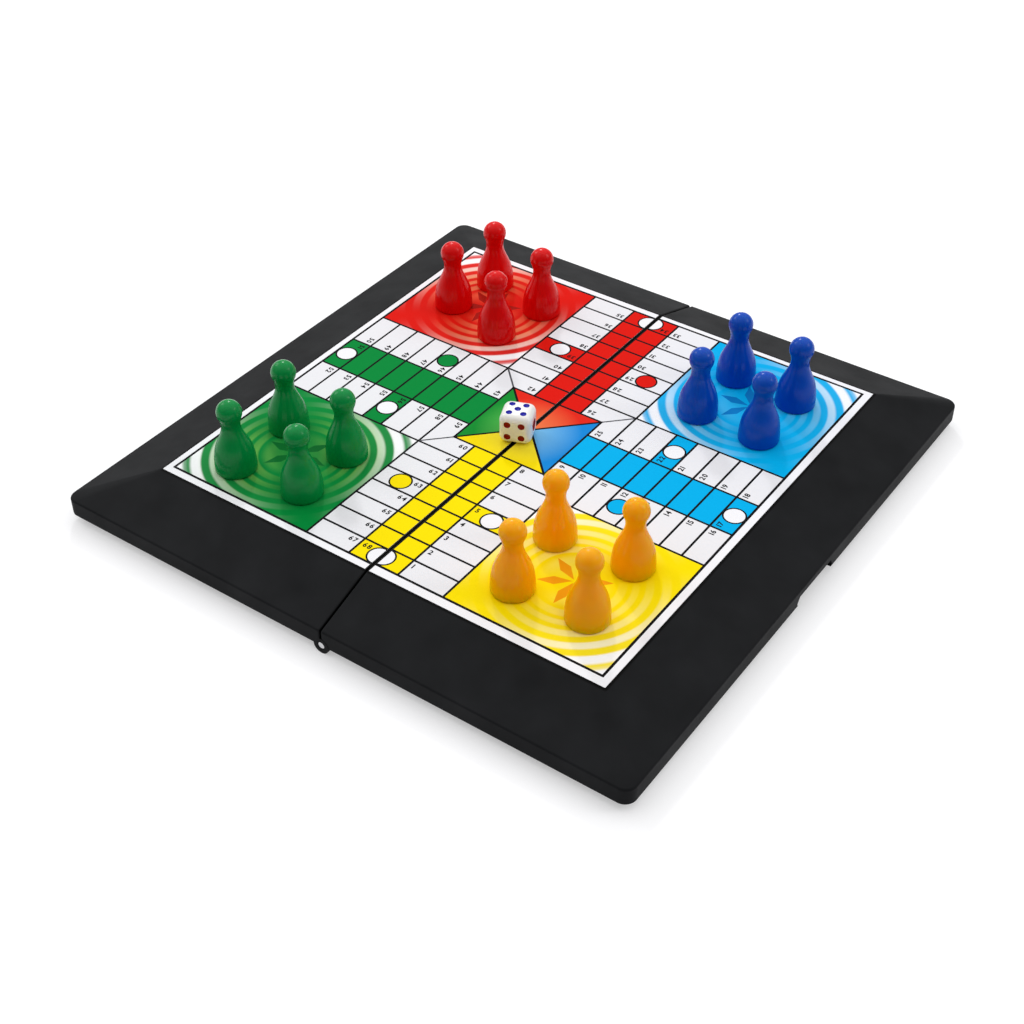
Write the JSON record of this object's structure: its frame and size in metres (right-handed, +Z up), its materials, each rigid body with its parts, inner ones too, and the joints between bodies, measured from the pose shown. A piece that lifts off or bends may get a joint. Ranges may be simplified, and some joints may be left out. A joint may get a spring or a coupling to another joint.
{
  "type": "folding magnetic ludo set",
  "caption": "Black hinged board case with a cross-shaped race-game print, cone-bodied magnetic pawns with ball heads in four colours, and a rounded die.",
  "frame": {"origin": "on the table, under the middle of the open board", "axes": "+Z up; +X across the hinge to the blue and yellow half; +Y along the hinge, away from the green and yellow homes"},
  "size_m": [0.25, 0.25, 0.0496],
  "materials": {
    "tray_plastic": "black moulded plastic, satin",
    "tinplate": "tinned steel sheet",
    "printed_sheet": "colour print under a clear gloss film",
    "pin_steel": "bright steel",
    "foot_rubber": "matte",
    "pawn_red": "glossy moulded plastic",
    "pawn_green": "glossy moulded plastic",
    "pawn_blue": "glossy moulded plastic",
    "pawn_yellow": "glossy moulded plastic",
    "magnet": "dark sintered magnet",
    "die_plastic": "white, with painted pips"
  },
  "bodies": {
    "left_half": {"tray_left": "tray_plastic", "steel_sheet_left": "tinplate", "print_sheet_left": "printed_sheet", "foot_left_front": "foot_rubber", "foot_left_back": "foot_rubber", "hinge_pin_front": "pin_steel", "hinge_pin_back": "pin_steel"},
    "right_half": {"tray_right": "tray_plastic", "steel_sheet_right": "tinplate", "print_sheet_right": "printed_sheet", "foot_right_front": "foot_rubber", "foot_right_back": "foot_rubber"},
    "red_pawn_1": {"pawn_red_1": "pawn_red", "magnet_red_1": "magnet"},
    "red_pawn_2": {"pawn_red_2": "pawn_red", "magnet_red_2": "magnet"},
    "red_pawn_3": {"pawn_red_3": "pawn_red", "magnet_red_3": "magnet"},
    "red_pawn_4": {"pawn_red_4": "pawn_red", "magnet_red_4": "magnet"},
    "green_pawn_1": {"pawn_green_1": "pawn_green", "magnet_green_1": "magnet"},
    "green_pawn_2": {"pawn_green_2": "pawn_green", "magnet_green_2": "magnet"},
    "green_pawn_3": {"pawn_green_3": "pawn_green", "magnet_green_3": "magnet"},
    "green_pawn_4": {"pawn_green_4": "pawn_green", "magnet_green_4": "magnet"},
    "blue_pawn_1": {"pawn_blue_1": "pawn_blue", "magnet_blue_1": "magnet"},
    "blue_pawn_2": {"pawn_blue_2": "pawn_blue", "magnet_blue_2": "magnet"},
    "blue_pawn_3": {"pawn_blue_3": "pawn_blue", "magnet_blue_3": "magnet"},
    "blue_pawn_4": {"pawn_blue_4": "pawn_blue", "magnet_blue_4": "magnet"},
    "yellow_pawn_1": {"pawn_yellow_1": "pawn_yellow", "magnet_yellow_1": "magnet"},
    "yellow_pawn_2": {"pawn_yellow_2": "pawn_yellow", "magnet_yellow_2": "magnet"},
    "yellow_pawn_3": {"pawn_yellow_3": "pawn_yellow", "magnet_yellow_3": "magnet"},
    "yellow_pawn_4": {"pawn_yellow_4": "pawn_yellow", "magnet_yellow_4": "magnet"},
    "die_body": {"die": "die_plastic"}
  },
  "joints": [
    {"name": "board_fold", "type": "hinge", "parent": "left_half", "child": "right_half", "pos_m": [0, 0, 0.0033], "axis": [0, 1, 0], "range_deg": [0, 180]},
    {"name": "red_pawn_1_lift", "type": "slide", "parent": "left_half", "child": "red_pawn_1", "axis": [0, 0, 1], "range_m": [0, 0.045]},
    {"name": "red_pawn_2_lift", "type": "slide", "parent": "left_half", "child": "red_pawn_2", "axis": [0, 0, 1], "range_m": [0, 0.045]},
    {"name": "red_pawn_3_lift", "type": "slide", "parent": "left_half", "child": "red_pawn_3", "axis": [0, 0, 1], "range_m": [0, 0.045]},
    {"name": "red_pawn_4_lift", "type": "slide", "parent": "left_half", "child": "red_pawn_4", "axis": [0, 0, 1], "range_m": [0, 0.045]},
    {"name": "green_pawn_1_lift", "type": "slide", "parent": "left_half", "child": "green_pawn_1", "axis": [0, 0, 1], "range_m": [0, 0.045]},
    {"name": "green_pawn_2_lift", "type": "slide", "parent": "left_half", "child": "green_pawn_2", "axis": [0, 0, 1], "range_m": [0, 0.045]},
    {"name": "green_pawn_3_lift", "type": "slide", "parent": "left_half", "child": "green_pawn_3", "axis": [0, 0, 1], "range_m": [0, 0.045]},
    {"name": "green_pawn_4_lift", "type": "slide", "parent": "left_half", "child": "green_pawn_4", "axis": [0, 0, 1], "range_m": [0, 0.045]},
    {"name": "blue_pawn_1_lift", "type": "slide", "parent": "right_half", "child": "blue_pawn_1", "axis": [0, 0, 1], "range_m": [0, 0.045]},
    {"name": "blue_pawn_2_lift", "type": "slide", "parent": "right_half", "child": "blue_pawn_2", "axis": [0, 0, 1], "range_m": [0, 0.045]},
    {"name": "blue_pawn_3_lift", "type": "slide", "parent": "right_half", "child": "blue_pawn_3", "axis": [0, 0, 1], "range_m": [0, 0.045]},
    {"name": "blue_pawn_4_lift", "type": "slide", "parent": "right_half", "child": "blue_pawn_4", "axis": [0, 0, 1], "range_m": [0, 0.045]},
    {"name": "yellow_pawn_1_lift", "type": "slide", "parent": "right_half", "child": "yellow_pawn_1", "axis": [0, 0, 1], "range_m": [0, 0.045]},
    {"name": "yellow_pawn_2_lift", "type": "slide", "parent": "right_half", "child": "yellow_pawn_2", "axis": [0, 0, 1], "range_m": [0, 0.045]},
    {"name": "yellow_pawn_3_lift", "type": "slide", "parent": "right_half", "child": "yellow_pawn_3", "axis": [0, 0, 1], "range_m": [0, 0.045]},
    {"name": "yellow_pawn_4_lift", "type": "slide", "parent": "right_half", "child": "yellow_pawn_4", "axis": [0, 0, 1], "range_m": [0, 0.045]},
    {"name": "die_lift", "type": "slide", "parent": "left_half", "child": "die_body", "axis": [0, 0, 1], "range_m": [0, 0.045]}
  ]
}
